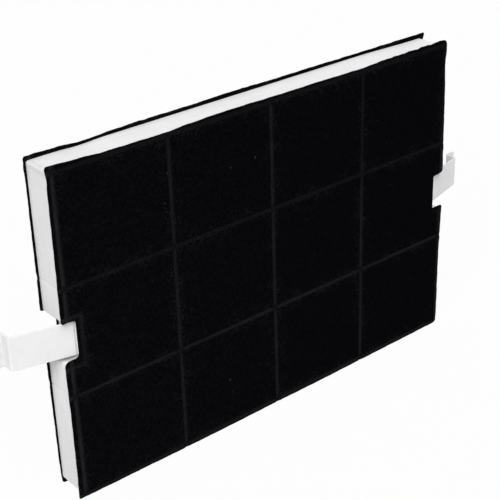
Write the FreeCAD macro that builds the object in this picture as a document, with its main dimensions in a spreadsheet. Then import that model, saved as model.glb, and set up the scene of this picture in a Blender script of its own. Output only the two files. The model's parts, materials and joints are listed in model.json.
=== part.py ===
import FreeCAD, Part
import math
import os
import Sketcher

# Cooker hood carbon filter.
# A moulded lattice frame holds activated charcoal between two fleeces that are welded to its
# ribs and walls. A notch at mid-height of each end holds a springy latch tab.
# Millimetres, +Z up. X runs along the long side and the front fleece faces -Y.
# The origin is on the lower edge, half way along it and half way through the thickness.

# Driving sizes: name, value and what it is.
SIZES = [
    ("frame_width", 378.0, "moulded frame, along X"),
    ("frame_height", 261.0, "moulded frame, along Z"),
    ("frame_depth", 25.0, "moulded frame, along Y"),
    ("frame_corner", 2.0, "radius of the frame's four outer corners"),
    ("wall", 2.0, "outer wall, also round the notches"),
    ("rib", 1.5, "ribs between the cells"),
    ("columns", 4, "cells along X"),
    ("rows", 3, "cells along Z"),
    ("cell_corner", 2.0, "radius in the corners of a cell"),
    ("notch_depth", 11.0, "how far a notch reaches in from the end"),
    ("notch_height", 32.6, "height of a notch"),
    ("notch_corner", 2.5, "radius at the bottom corners of a notch"),
    ("notch_lip", 2.6, "radius where a notch meets the end wall"),
    ("fleece_sheet", 0.9, "fleece where the weld has pressed it"),
    ("fleece_loft", 0.6, "extra thickness of the fleece over a cell"),
    ("fleece_side", 1.0, "fleece beyond the frame at the two ends"),
    ("fleece_edge", 2.0, "fleece beyond the frame at the top and bottom"),
    ("fleece_notch", 0.9, "fleece beyond the frame inside a notch"),
    ("fleece_corner", 1.6, "radius of the fleece's four corners"),
    ("weld_margin", 0.75, "weld beyond the edge of a rib or wall"),
    ("bed_clearance", 0.3, "charcoal to frame and fleece"),
    ("bed_corner", 1.7, "radius of a charcoal bed's edges"),
    ("tab_thickness", 1.5, "latch tab"),
    ("tab_side_gap", 3.2, "tab to the notch, averaged over above and below"),
    ("tab_raise", 0.9, "middle of the tab above the middle of its notch"),
    ("tab_setback", 3.0, "middle of the tab's root behind the frame's front edge"),
    ("hinge_gap", 0.3, "tab's rounded root to the notch wall"),
    ("tab_leg", 45.0, "straight leg, from the hinge line to the first bend"),
    ("tab_lean", 14.5, "degrees that the leg leans back from the frame's face"),
    ("tab_riser", 7.0, "straight part of the step back"),
    ("tab_lip", 6.7, "straight part of the lip beyond the step"),
    ("tab_bend", 1.6, "radius of the tab's two bends, at mid-thickness"),
]

doc = FreeCAD.newDocument("carbon_filter")
sheet = doc.addObject("Spreadsheet::Sheet", "Sizes")
for line, (name, value, note) in enumerate(SIZES, start=1):
    sheet.set(f"A{line}", name)
    sheet.set(f"B{line}", str(value))
    sheet.setAlias(f"B{line}", name)
    sheet.set(f"C{line}", note)
doc.recompute()

# Places that several pieces share, as formulas of the sheet.
HALF_WIDTH = "(Sizes.frame_width / 2)"
FRAME_LOW = "Sizes.fleece_edge"
FRAME_TOP = "(Sizes.fleece_edge + Sizes.frame_height)"
MID_HEIGHT = "(Sizes.fleece_edge + Sizes.frame_height / 2)"
CELL_WIDTH = "((Sizes.frame_width - 2 * Sizes.wall - (Sizes.columns - 1) * Sizes.rib) / Sizes.columns)"
CELL_HEIGHT = "((Sizes.frame_height - 2 * Sizes.wall - (Sizes.rows - 1) * Sizes.rib) / Sizes.rows)"
COLUMN_PITCH = f"({CELL_WIDTH} + Sizes.rib)"
ROW_PITCH = f"({CELL_HEIGHT} + Sizes.rib)"
NOTCH_WALL = f"({HALF_WIDTH} - Sizes.notch_depth)"
NOTCH_OUT = f"({HALF_WIDTH} + Sizes.fleece_side + 2 * Sizes.notch_corner)"
HINGE_X = f"({NOTCH_WALL} + Sizes.hinge_gap + Sizes.tab_thickness / 2)"
HINGE_Y = "(Sizes.tab_setback - Sizes.frame_depth / 2)"
TAB_WIDTH = "(Sizes.notch_height - 2 * Sizes.tab_side_gap)"


def number(formula):
    """The present value of a formula of the sheet."""
    return float(sheet.evalExpression(formula))


def origin_plane(body, role):
    """One of a body's own origin planes, such as XZ_Plane."""
    return next(item for item in body.Origin.OriginFeatures if item.Role == role)


def new_sketch(body, name, role, offset="0"):
    """A sketch on an origin plane of its body, moved along the plane's normal."""
    sketch = body.newObject("Sketcher::SketchObject", name)
    sketch.AttachmentSupport = [(origin_plane(body, role), "")]
    sketch.MapMode = "FlatFace"
    sketch.setExpression("AttachmentOffset.Base.z", offset)
    return sketch


def bind(sketch, constraint, formula):
    """Adds a measured constraint and ties it to a formula of the sheet."""
    index = sketch.addConstraint(constraint)
    sketch.setExpression(f"Constraints[{index}]", formula)


def rounded_rectangle(sketch, left, right, low, high, radius):
    """Adds a rectangle with round corners to a sketch; each size is a formula."""
    x0, x1, y0, y1, r = (number(formula) for formula in (left, right, low, high, radius))
    ends = [
        ((x0 + r, y0), (x1 - r, y0)),
        ((x1, y0 + r), (x1, y1 - r)),
        ((x1 - r, y1), (x0 + r, y1)),
        ((x0, y1 - r), (x0, y0 + r)),
    ]
    centres = [(x1 - r, y0 + r), (x1 - r, y1 - r), (x0 + r, y1 - r), (x0 + r, y0 + r)]
    quarter = math.pi / 2
    lines = []
    arcs = []
    for corner in range(4):
        start, end = (FreeCAD.Vector(*point, 0) for point in ends[corner])
        lines.append(sketch.addGeometry(Part.LineSegment(start, end)))
        circle = Part.Circle(FreeCAD.Vector(*centres[corner], 0), FreeCAD.Vector(0, 0, 1), r)
        turn = (corner - 1) * quarter
        arcs.append(sketch.addGeometry(Part.ArcOfCircle(circle, turn, turn + quarter)))
    for corner in range(4):
        sketch.addConstraint(Sketcher.Constraint("Tangent", lines[corner], 2, arcs[corner], 1))
        after = lines[(corner + 1) % 4]
        sketch.addConstraint(Sketcher.Constraint("Tangent", arcs[corner], 2, after, 1))
        direction = "Horizontal" if corner % 2 == 0 else "Vertical"
        sketch.addConstraint(Sketcher.Constraint(direction, lines[corner]))
    for arc in arcs[1:]:
        sketch.addConstraint(Sketcher.Constraint("Equal", arcs[0], arc))
    bind(sketch, Sketcher.Constraint("Radius", arcs[0], r), radius)
    bind(sketch, Sketcher.Constraint("DistanceY", -1, 1, lines[0], 1, y0), low)
    bind(sketch, Sketcher.Constraint("DistanceX", -1, 1, lines[1], 1, x1), right)
    bind(sketch, Sketcher.Constraint("DistanceY", -1, 1, lines[2], 1, y1), high)
    bind(sketch, Sketcher.Constraint("DistanceX", -1, 1, lines[3], 1, x0), left)


def add_pad(body, name, sketch, length, midplane=False, reverse=False):
    """Raises a sketch into a solid."""
    pad = body.newObject("PartDesign::Pad", name)
    pad.Profile = sketch
    pad.Midplane = midplane
    pad.Reversed = reverse
    pad.setExpression("Length", length)
    body.Tip = pad
    return pad


def add_pocket(body, name, sketch, length, midplane=False, reverse=False):
    """Cuts a sketch out of the body and makes sure that it took something away."""
    doc.recompute()
    before = body.Shape.Volume
    pocket = body.newObject("PartDesign::Pocket", name)
    pocket.Profile = sketch
    pocket.Midplane = midplane
    pocket.Reversed = reverse
    pocket.setExpression("Length", length)
    body.Tip = pocket
    doc.recompute()
    if not body.Shape.Volume < before:
        raise RuntimeError(f"{name} cuts nothing out of {body.Label}")
    return pocket


def repeat_columns(body, feature, sketch):
    """Repeats a feature along X, once for each column of cells."""
    pattern = body.newObject("PartDesign::LinearPattern", feature.Name + "_columns")
    pattern.Originals = [feature]
    pattern.Direction = (sketch, ["H_Axis"])
    pattern.setExpression("Length", f"(Sizes.columns - 1) * {COLUMN_PITCH}")
    pattern.setExpression("Occurrences", "Sizes.columns")
    body.Tip = pattern


def mirror_ends(body, features, sketch):
    """Copies features of the +X end to the -X end."""
    mirror = body.newObject("PartDesign::Mirrored", features[0].Name + "_ends")
    mirror.Originals = features
    mirror.MirrorPlane = (sketch, ["V_Axis"])
    body.Tip = mirror


def round_notch_lips(body, side, half_height):
    """Rounds the four edges along Y where the notches meet the ends of a body."""
    doc.recompute()
    end = number(side)
    middle = number(MID_HEIGHT)
    reach = number(half_height)
    names = []
    for index, edge in enumerate(body.Shape.Edges, start=1):
        box = edge.BoundBox
        flat = box.XLength < 0.01 and box.ZLength < 0.01
        at_end = abs(abs(box.Center.x) - end) < 0.01
        at_lip = abs(abs(box.Center.z - middle) - reach) < 0.01
        if flat and at_end and at_lip:
            names.append(f"Edge{index}")
    if not names:
        raise RuntimeError(f"no notch edges found on {body.Label}")
    before = body.Tip
    fillet = body.newObject("PartDesign::Fillet", body.Name + "_lips")
    fillet.Base = (before, names)
    fillet.setExpression("Radius", "Sizes.notch_lip")
    body.Tip = fillet


def cell_left(column):
    """Left side of a cell's opening; columns count from 0 at the -X end."""
    return f"(Sizes.wall - {HALF_WIDTH} + {column} * {COLUMN_PITCH})"


def cell_low(row):
    """Lower side of a cell's opening; rows count from 0 at the bottom."""
    return f"({FRAME_LOW} + Sizes.wall + {row} * {ROW_PITCH})"


def cell_rectangle(sketch, column, row, inset, radius):
    """Adds the outline of one cell, drawn in from its walls by the inset."""
    left = cell_left(column)
    low = cell_low(row)
    rounded_rectangle(
        sketch,
        f"{left} + {inset}",
        f"{left} + {CELL_WIDTH} - {inset}",
        f"{low} + {inset}",
        f"{low} + {CELL_HEIGHT} - {inset}",
        radius,
    )


def notch_rectangle(sketch, margin):
    """Adds the outline of the +X notch, grown by the margin on its three closed sides."""
    rounded_rectangle(
        sketch,
        f"{NOTCH_WALL} - {margin}",
        NOTCH_OUT,
        f"{MID_HEIGHT} - Sizes.notch_height / 2 - {margin}",
        f"{MID_HEIGHT} + Sizes.notch_height / 2 + {margin}",
        "Sizes.notch_corner",
    )


def make_frame():
    """The lattice frame: outer walls, ribs, and a walled notch at each end."""
    body = doc.addObject("PartDesign::Body", "frame")
    outline = new_sketch(body, "frame_outline", "XZ_Plane")
    rounded_rectangle(
        outline,
        f"-{HALF_WIDTH}",
        HALF_WIDTH,
        FRAME_LOW,
        FRAME_TOP,
        "Sizes.frame_corner",
    )
    add_pad(body, "frame_block", outline, "Sizes.frame_depth", midplane=True)

    openings = new_sketch(body, "first_column", "XZ_Plane")
    for row in range(int(number("Sizes.rows"))):
        cell_rectangle(openings, 0, row, "0", "Sizes.cell_corner")
    through = "2 * Sizes.frame_depth"
    cells = add_pocket(body, "cells", openings, through, midplane=True)
    repeat_columns(body, cells, openings)

    # The wall runs round each notch, so a block goes in first and the notch is cut from it.
    block = new_sketch(body, "notch_block_outline", "XZ_Plane")
    rounded_rectangle(
        block,
        f"{NOTCH_WALL} - Sizes.wall",
        f"{HALF_WIDTH} - Sizes.wall / 4",
        f"{MID_HEIGHT} - Sizes.notch_height / 2 - Sizes.wall",
        f"{MID_HEIGHT} + Sizes.notch_height / 2 + Sizes.wall",
        "Sizes.wall / 8",
    )
    notch_block = add_pad(body, "notch_block", block, "Sizes.frame_depth", midplane=True)
    notch_outline = new_sketch(body, "notch_outline", "XZ_Plane")
    notch_rectangle(notch_outline, "0")
    notch = add_pocket(body, "notch", notch_outline, through, midplane=True)
    mirror_ends(body, [notch_block, notch], notch_outline)
    round_notch_lips(body, HALF_WIDTH, "Sizes.notch_height / 2")
    return body


def make_fleece(name, side):
    """A fleece, pressed thin over ribs and walls and lofty over the cells.

    Side is 1 for the front, which faces -Y, and -1 for the rear.
    """
    body = doc.addObject("PartDesign::Body", name)
    back = side < 0
    seat = f"{side} * Sizes.frame_depth / 2"
    face = f"{side} * (Sizes.frame_depth / 2 + Sizes.fleece_sheet)"
    outline = new_sketch(body, name + "_outline", "XZ_Plane", seat)
    rounded_rectangle(
        outline,
        f"-({HALF_WIDTH} + Sizes.fleece_side)",
        f"{HALF_WIDTH} + Sizes.fleece_side",
        "0",
        f"{FRAME_TOP} + Sizes.fleece_edge",
        "Sizes.fleece_corner",
    )
    add_pad(body, name + "_sheet", outline, "Sizes.fleece_sheet", reverse=back)

    loft_outline = new_sketch(body, name + "_loft_outline", "XZ_Plane", face)
    for row in range(int(number("Sizes.rows"))):
        cell_rectangle(loft_outline, 0, row, "Sizes.weld_margin", "Sizes.cell_corner")
    loft = add_pad(body, name + "_loft", loft_outline, "Sizes.fleece_loft", reverse=back)
    repeat_columns(body, loft, loft_outline)

    # The weld follows the wall round each notch, and the notch goes right through.
    weld_outline = new_sketch(body, name + "_weld_outline", "XZ_Plane", face)
    notch_rectangle(weld_outline, "(Sizes.wall + Sizes.weld_margin)")
    weld = add_pocket(body, name + "_weld", weld_outline, "Sizes.fleece_loft", reverse=not back)
    notch_outline = new_sketch(body, name + "_notch_outline", "XZ_Plane", seat)
    notch_rectangle(notch_outline, "(-Sizes.fleece_notch)")
    through = "4 * (Sizes.fleece_sheet + Sizes.fleece_loft)"
    notch = add_pocket(body, name + "_notch", notch_outline, through, midplane=True)
    mirror_ends(body, [weld, notch], notch_outline)
    round_notch_lips(
        body,
        f"{HALF_WIDTH} + Sizes.fleece_side",
        "Sizes.notch_height / 2 - Sizes.fleece_notch",
    )
    return body


def make_charcoal_bed(column, row):
    """The charcoal that fills one cell, clear of its walls and of the fleeces."""
    label = f"charcoal_bed_r{row + 1}_c{column + 1}"
    body = doc.addObject("PartDesign::Body", label)
    outline = new_sketch(body, label + "_outline", "XZ_Plane")
    cell_rectangle(outline, column, row, "Sizes.bed_clearance", "Sizes.bed_corner")
    depth = "Sizes.frame_depth - 2 * Sizes.bed_clearance"
    add_pad(body, label + "_fill", outline, depth, midplane=True)
    return body


def is_end_cell(column, row):
    """Whether a notch reaches into this cell."""
    columns = int(number("Sizes.columns"))
    low = number(cell_low(row))
    high = low + number(CELL_HEIGHT)
    half = number("Sizes.notch_height / 2 + Sizes.wall + Sizes.bed_clearance")
    middle = number(MID_HEIGHT)
    beside = low < middle + half and high > middle - half
    return beside and column in (0, columns - 1)


def cut_notch_from_bed(body, column):
    """Keeps a charcoal bed clear of the walls round the notch beside it."""
    outline = new_sketch(body, body.Name + "_notch_outline", "XZ_Plane")
    margin = "(Sizes.wall + Sizes.bed_clearance)"
    inner = f"({NOTCH_WALL} - {margin})"
    left = inner if column > 0 else f"-{NOTCH_OUT}"
    right = NOTCH_OUT if column > 0 else f"-{inner}"
    rounded_rectangle(
        outline,
        left,
        right,
        f"{MID_HEIGHT} - Sizes.notch_height / 2 - {margin}",
        f"{MID_HEIGHT} + Sizes.notch_height / 2 + {margin}",
        "Sizes.bed_clearance",
    )
    add_pocket(body, body.Name + "_notch", outline, "2 * Sizes.frame_depth", midplane=True)


def make_tab_path():
    """The middle line of the +X tab, seen from above: leaning leg, step back and lip."""
    path = doc.addObject("Sketcher::SketchObject", "tab_path")
    path.setExpression("Placement.Base.z", f"{MID_HEIGHT} + Sizes.tab_raise")
    lean = math.radians(number("Sizes.tab_lean"))
    bend = number("Sizes.tab_bend")
    right_angle = math.pi / 2
    root = FreeCAD.Vector(number(HINGE_X), number(HINGE_Y), 0)
    along = FreeCAD.Vector(math.cos(lean), math.sin(lean), 0)
    knee = root + along * number("Sizes.tab_leg")
    first_centre = knee + FreeCAD.Vector(-math.sin(lean), math.cos(lean), 0) * bend
    riser_low = first_centre + FreeCAD.Vector(bend, 0, 0)
    riser_high = riser_low + FreeCAD.Vector(0, number("Sizes.tab_riser"), 0)
    second_centre = riser_high + FreeCAD.Vector(bend, 0, 0)
    lip_start = second_centre + FreeCAD.Vector(0, bend, 0)
    tip = lip_start + FreeCAD.Vector(number("Sizes.tab_lip"), 0, 0)
    up = FreeCAD.Vector(0, 0, 1)
    first_circle = Part.Circle(first_centre, up, bend)
    second_circle = Part.Circle(second_centre, up, bend)

    leg = path.addGeometry(Part.LineSegment(root, knee))
    first = path.addGeometry(Part.ArcOfCircle(first_circle, lean - right_angle, 0))
    riser = path.addGeometry(Part.LineSegment(riser_low, riser_high))
    second = path.addGeometry(Part.ArcOfCircle(second_circle, right_angle, math.pi))
    lip = path.addGeometry(Part.LineSegment(lip_start, tip))
    path.addConstraint(Sketcher.Constraint("Tangent", leg, 2, first, 1))
    path.addConstraint(Sketcher.Constraint("Tangent", first, 2, riser, 1))
    path.addConstraint(Sketcher.Constraint("Tangent", riser, 2, second, 2))
    path.addConstraint(Sketcher.Constraint("Tangent", second, 1, lip, 1))
    path.addConstraint(Sketcher.Constraint("Vertical", riser))
    path.addConstraint(Sketcher.Constraint("Horizontal", lip))
    path.addConstraint(Sketcher.Constraint("Equal", first, second))
    bind(path, Sketcher.Constraint("DistanceX", -1, 1, leg, 1, root.x), HINGE_X)
    bind(path, Sketcher.Constraint("DistanceY", -1, 1, leg, 1, root.y), HINGE_Y)
    bind(path, Sketcher.Constraint("Angle", leg, lean), "Sizes.tab_lean * 1 deg")
    bind(path, Sketcher.Constraint("Distance", leg, knee.sub(root).Length), "Sizes.tab_leg")
    bind(path, Sketcher.Constraint("Distance", riser, riser_high.y - riser_low.y), "Sizes.tab_riser")
    bind(path, Sketcher.Constraint("Distance", lip, tip.x - lip_start.x), "Sizes.tab_lip")
    bind(path, Sketcher.Constraint("Radius", first, bend), "Sizes.tab_bend")
    return path


def make_tabs():
    """The two latch tabs: one strip with round edges, and its mirror image."""
    strip = doc.addObject("Part::Offset2D", "tab_strip")
    strip.Source = make_tab_path()
    strip.Mode = "Pipe"
    strip.Join = "Arc"
    strip.Fill = True
    strip.setExpression("Value", "Sizes.tab_thickness / 2")
    right = doc.addObject("Part::Extrusion", "right_latch_tab")
    right.Base = strip
    right.DirMode = "Custom"
    right.Dir = FreeCAD.Vector(0, 0, 1)
    right.Solid = True
    right.Symmetric = True
    right.setExpression("LengthFwd", TAB_WIDTH)
    left = doc.addObject("Part::Mirroring", "left_latch_tab")
    left.Source = right
    left.Normal = FreeCAD.Vector(1, 0, 0)
    return [right, left]


def make_charcoal_beds():
    """One bed in each cell; those beside a notch are cut clear of its walls."""
    beds = []
    for row in range(int(number("Sizes.rows"))):
        for column in range(int(number("Sizes.columns"))):
            bed = make_charcoal_bed(column, row)
            if is_end_cell(column, row):
                cut_notch_from_bed(bed, column)
            beds.append(bed)
    return beds


def check(pieces):
    """Stops if any object failed or any piece is not one valid solid."""
    for item in doc.Objects:
        if "Invalid" in item.State or "Error" in item.State:
            raise RuntimeError(f"{item.Label} failed: {item.State}")
    for piece in pieces:
        shape = piece.Shape
        if shape.isNull() or not shape.isValid() or len(shape.Solids) != 1:
            raise RuntimeError(f"{piece.Label} is not one valid solid")


pieces = [make_frame(), make_fleece("front_fleece", 1), make_fleece("rear_fleece", -1)]
pieces += make_charcoal_beds()
pieces += make_tabs()
doc.recompute()
check(pieces)
os.makedirs("parts", exist_ok=True)
for piece in pieces:
    piece.Shape.exportStep(f"parts/{piece.Label}.step")
    box = piece.Shape.BoundBox
    print(piece.Label, round(piece.Shape.Volume / 1000, 2), "cubic cm", box)
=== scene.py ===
# %% [markdown]
# # A charcoal filter for a cooker hood
# The object is a flat cassette: a white moulded lattice frame, charcoal in its twelve cells, a black
# needled fleece welded over each face, and a springy latch tab in a notch at each end.
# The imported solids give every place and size, so this cell loads them first. They could also be drawn
# again here, but then the two models could drift apart.

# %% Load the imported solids
import functools
import json
import math
import random

import bmesh
import bpy
import numpy as np
from mathutils import Matrix, Vector


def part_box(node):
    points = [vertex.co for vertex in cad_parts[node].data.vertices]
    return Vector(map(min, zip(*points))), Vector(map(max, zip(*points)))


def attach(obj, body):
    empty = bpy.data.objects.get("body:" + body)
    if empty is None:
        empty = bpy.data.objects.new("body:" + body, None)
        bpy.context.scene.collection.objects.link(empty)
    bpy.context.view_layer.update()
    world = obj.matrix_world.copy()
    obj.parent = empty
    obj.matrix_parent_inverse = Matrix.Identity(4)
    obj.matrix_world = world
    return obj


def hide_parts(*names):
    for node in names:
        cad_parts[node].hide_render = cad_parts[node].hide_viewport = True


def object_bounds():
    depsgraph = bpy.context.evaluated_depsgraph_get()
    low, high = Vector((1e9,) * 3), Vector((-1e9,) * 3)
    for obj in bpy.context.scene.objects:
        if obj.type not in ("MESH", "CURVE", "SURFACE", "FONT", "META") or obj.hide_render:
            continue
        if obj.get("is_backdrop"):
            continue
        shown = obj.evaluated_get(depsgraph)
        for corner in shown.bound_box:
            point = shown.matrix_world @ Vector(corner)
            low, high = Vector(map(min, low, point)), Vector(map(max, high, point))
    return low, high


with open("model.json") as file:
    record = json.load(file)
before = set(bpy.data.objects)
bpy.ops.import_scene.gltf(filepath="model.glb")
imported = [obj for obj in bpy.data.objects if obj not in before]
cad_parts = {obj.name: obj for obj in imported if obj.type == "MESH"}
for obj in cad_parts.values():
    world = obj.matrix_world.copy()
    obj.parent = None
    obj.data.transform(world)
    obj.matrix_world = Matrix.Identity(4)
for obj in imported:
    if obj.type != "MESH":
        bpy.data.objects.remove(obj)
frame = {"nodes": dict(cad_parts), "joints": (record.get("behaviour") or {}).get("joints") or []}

cad_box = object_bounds()
MM = 0.001
frame_low, frame_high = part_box("frame")
fleece_low, fleece_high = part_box("front_fleece")
print("solids:", len(frame["nodes"]), "box in mm:", [round(v / MM, 1) for v in cad_box[1] - cad_box[0]])


def new_object(name, data):
    """An object at the origin, linked to the scene."""
    thing = bpy.data.objects.new(name, data)
    bpy.context.scene.collection.objects.link(thing)
    return thing


# %% [markdown]
# ## Where the camera stands
# The photograph looks down on the filter from its front left. Four straight edges and six crossings
# of weld lines were enough to work out the angles, the distance and the lens.
# A Track To constraint could aim the camera. A matrix of three turns has no hidden state, and the
# small roll of the photograph is just the third turn.

# %% Camera
CAMERA_TURN = math.radians(38.99)  # round to the left of straight ahead
CAMERA_RISE = math.radians(27.29)  # above the horizon
CAMERA_ROLL = math.radians(1.82)
CAMERA_OFFSET = (-0.01829, 0.00721, 0.97374)  # right, up and back from the panel's centre
LENS_MM = 90.70

panel_middle = Vector((0.0, fleece_low.y, (fleece_low.z + fleece_high.z) / 2))
turn = (Matrix.Rotation(-CAMERA_TURN, 4, "Z") @ Matrix.Rotation(math.pi / 2 - CAMERA_RISE, 4, "X")
        @ Matrix.Rotation(-CAMERA_ROLL, 4, "Z"))
camera_data = bpy.data.cameras.new("camera")
camera_data.lens = LENS_MM
camera_data.sensor_width = 36.0
camera = new_object("camera", camera_data)
camera.matrix_world = Matrix.Translation(panel_middle + turn @ Vector(CAMERA_OFFSET)) @ turn
bpy.context.scene.camera = camera
bpy.context.scene.view_settings.view_transform = "Standard"
print("camera at", [round(v, 3) for v in camera.matrix_world.translation])

# %% [markdown]
# ## A helper for node trees
# Materials, the world and Geometry Nodes are all graphs of nodes, which could be drawn by hand in the
# editor. In a script each node takes three or four lines, so one helper adds a node to the tree that
# is open, sets its properties, and fills its inputs with plain values or with links.

# %% Node helpers
opened = {}  # the tree that is being filled


def open_tree(tree):
    """Empties a tree and lets the helpers below fill it."""
    tree.nodes.clear()
    opened["tree"] = tree
    return tree


def open_nodes(owner):
    """Opens the tree of a material or of the world."""
    owner.use_nodes = True
    open_tree(owner.node_tree)


def link(source, target):
    """Links two sockets of the open tree."""
    opened["tree"].links.new(source, target)


def add(kind, inputs=None, **settings):
    """Adds one node. Inputs maps a socket's name or number to a value or to another socket."""
    node = opened["tree"].nodes.new(kind)
    for key, value in settings.items():
        setattr(node, key, value)
    for key, value in (inputs or {}).items():
        if isinstance(value, bpy.types.NodeSocket):
            link(value, node.inputs[key])
        else:
            node.inputs[key].default_value = value
    return node


def put(*where, **settings):
    """Adds one node and gives its first output."""
    return add(*where, **settings).outputs[0]


def maths(operation, *values, clamp=False):
    """One Math node's result."""
    inputs = dict(enumerate(values))
    return put("ShaderNodeMath", inputs, operation=operation, use_clamp=clamp)


def folding(operation):
    """A helper that joins two or more values by one Math operation, from left to right."""
    return lambda *values: functools.reduce(functools.partial(maths, operation), values)


product, total, minus = folding("MULTIPLY"), folding("ADD"), folding("SUBTRACT")
largest, smallest = folding("MAXIMUM"), folding("MINIMUM")


def ramp(value, low, high, to_low=0.0, to_high=1.0):
    """A smooth step from to_low to to_high while value goes from low to high."""
    names = ("Value", "From Min", "From Max", "To Min", "To Max")
    node = add("ShaderNodeMapRange", dict(zip(names, (value, low, high, to_low, to_high))),
               interpolation_type="SMOOTHSTEP")
    return node.outputs["Result"]


def blend(share, first, second):
    """A colour between two others."""
    node = add("ShaderNodeMix", {0: share, 6: first, 7: second}, data_type="RGBA")
    return node.outputs[2]


def noise(vector, scale, detail=2.0, roughness=0.5):
    """Fractal noise from 0 to 1."""
    inputs = {"Vector": vector, "Scale": scale, "Detail": detail, "Roughness": roughness}
    return put("ShaderNodeTexNoise", inputs)


def combine(x, y, z):
    """A vector from its three parts."""
    return put("ShaderNodeCombineXYZ", {0: x, 1: y, 2: z})


def new_tree(name, kind, inputs, outputs):
    """Opens a new node group with named sockets, and gives its inputs and its output node."""
    tree = open_tree(bpy.data.node_groups.new(name, kind))
    for sockets, side in ((inputs, "INPUT"), (outputs, "OUTPUT")):
        for label, data in sockets:
            tree.interface.new_socket(name=label, in_out=side, socket_type="NodeSocket" + data)
    return tree, add("NodeGroupInput").outputs, add("NodeGroupOutput")


# %% [markdown]
# ## Light and floor
# The photograph has a big soft light high on the left, and white all round. One Sun lamp with a wide
# angle gives the same strength everywhere, and the world fills the shadows. More light could whiten
# the background, but it would bleach the filter. Here a ray that comes straight from the camera, or
# off a gloss, sees a strength of 1. The floor mixes in some of its shading, for a faint shadow.

# %% World, lamp and floor
AMBIENT = 0.205
KEY_STRENGTH = 3.45
KEY_DIRECTION = Vector((-0.418, -0.473, 0.775))
KEY_ANGLE = math.radians(40)
FLOOR_SHARE = 0.05  # how much of the floor's own shading the camera sees


def white_rays():
    """1 for rays that should see a white surrounding: from the camera, off gloss, and through glass."""
    path = add("ShaderNodeLightPath").outputs
    return largest(path["Is Camera Ray"], path["Is Glossy Ray"], path["Is Transmission Ray"])


world = bpy.data.worlds.new("studio")
open_nodes(world)
strength = ramp(white_rays(), 0.0, 1.0, AMBIENT, 1.0)
background = put("ShaderNodeBackground", {"Color": (1, 1, 1, 1), "Strength": strength})
add("ShaderNodeOutputWorld", {"Surface": background})
bpy.context.scene.world = world

lamp_data = bpy.data.lights.new("soft_key", "SUN")
lamp_data.energy = KEY_STRENGTH
lamp_data.angle = KEY_ANGLE
lamp = new_object("soft_key", lamp_data)
lamp.rotation_euler = KEY_DIRECTION.to_track_quat("Z", "Y").to_euler()


def make_floor(radius=4.0, corners=64):
    """A flat disc just under the filter, which isn't part of it."""
    points = [(radius * math.cos(a), radius * math.sin(a), cad_box[0].z - 0.0002)
              for a in np.linspace(0, 2 * math.pi, corners, endpoint=False)]
    mesh = bpy.data.meshes.new("floor")
    mesh.from_pydata(points, [], [range(corners)])
    floor = new_object("floor", mesh)
    material = bpy.data.materials.new("pale_floor")
    open_nodes(material)
    paint = put("ShaderNodeBsdfDiffuse", {"Color": (0.7, 0.7, 0.7, 1)})
    glow = put("ShaderNodeEmission", {"Color": (1, 1, 1, 1), "Strength": 1.0})
    clear = put("ShaderNodeBsdfTransparent")
    share = product(white_rays(), 1 - FLOOR_SHARE)
    lit = put("ShaderNodeMixShader", {0: share, 1: paint, 2: glow})
    below = add("ShaderNodeNewGeometry").outputs["Backfacing"]
    whole = put("ShaderNodeMixShader", {0: below, 1: lit, 2: clear})
    add("ShaderNodeOutputMaterial", {"Surface": whole})
    mesh.materials.append(material)
    floor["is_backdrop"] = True
    return floor


print("floor corners:", len(make_floor().data.vertices))

# %% [markdown]
# ## One group for grain
# Every material has a pattern at three sizes: broad patches, a grain, and something as fine as dust.
# Each could have its own noise nodes. A shared group with named inputs keeps them alike and is built
# once. It puts out masks only, and the shaders stay in the materials.

# %% The shared grain group
GRAIN_MASKS = ("Patches", "Grain", "Dust")


def make_grain_group():
    """Patches, grain and Dust from one set of coordinates, each from 0 to 1."""
    sizes = [(label + " Size", "Float") for label in GRAIN_MASKS]
    tree, given, out = new_tree("grain", "ShaderNodeTree", [("Vector", "Vector")] + sizes,
                                [(label, "Float") for label in GRAIN_MASKS])
    for index, label in enumerate(GRAIN_MASKS):
        scale = maths("DIVIDE", 1.0, given[label + " Size"])
        value = noise(given["Vector"], scale, detail=3.0 + index, roughness=0.55)
        link(ramp(value, 0.3, 0.7), out.inputs[label])
    return tree


grain_group = make_grain_group()


def new_material(name, *sizes):
    """Opens a material. Gives it, its coordinates, their parts and masks of three sizes in mm."""
    material = bpy.data.materials.new(name)
    open_nodes(material)
    place = add("ShaderNodeTexCoord").outputs["Object"]
    parts = add("ShaderNodeSeparateXYZ", {0: place}).outputs
    inputs = {label + " Size": size * MM for label, size in zip(GRAIN_MASKS, sizes)}
    mottle = add("ShaderNodeGroup", {"Vector": place, **inputs}, node_tree=grain_group).outputs
    return material, place, parts, mottle


def close_material(colour, roughness, height, bump, specular):
    """Adds the Principled shader with a bump, whose depth is in millimetres, and the output."""
    bumps = {"Height": height, "Strength": 1.0, "Distance": bump * MM}
    inputs = {"Base Color": colour, "Roughness": roughness, "Specular IOR Level": specular,
              "Normal": put("ShaderNodeBump", bumps)}
    shader = put("ShaderNodeBsdfPrincipled", inputs)
    add("ShaderNodeOutputMaterial", {"Surface": shader})


# %% [markdown]
# ## White moulded plastic
# The frame and the tabs are white satin polypropylene, a little mottled. A plain white Principled
# shader would look like paper. Here noise and ranges of place blend three shades. They paint shade
# along the rear fleece, at the lower edge, over the round upper corners and in the notches, grey the
# walls a little towards the bottom, and draw a dotted darker line along each tab's root.

# %% White plastic
PLASTIC_WHITE = (0.803, 0.803, 0.806, 1)
PLASTIC_GREY = (0.56, 0.56, 0.565, 1)
PLASTIC_DARKER = (0.48, 0.48, 0.485, 1)
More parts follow.
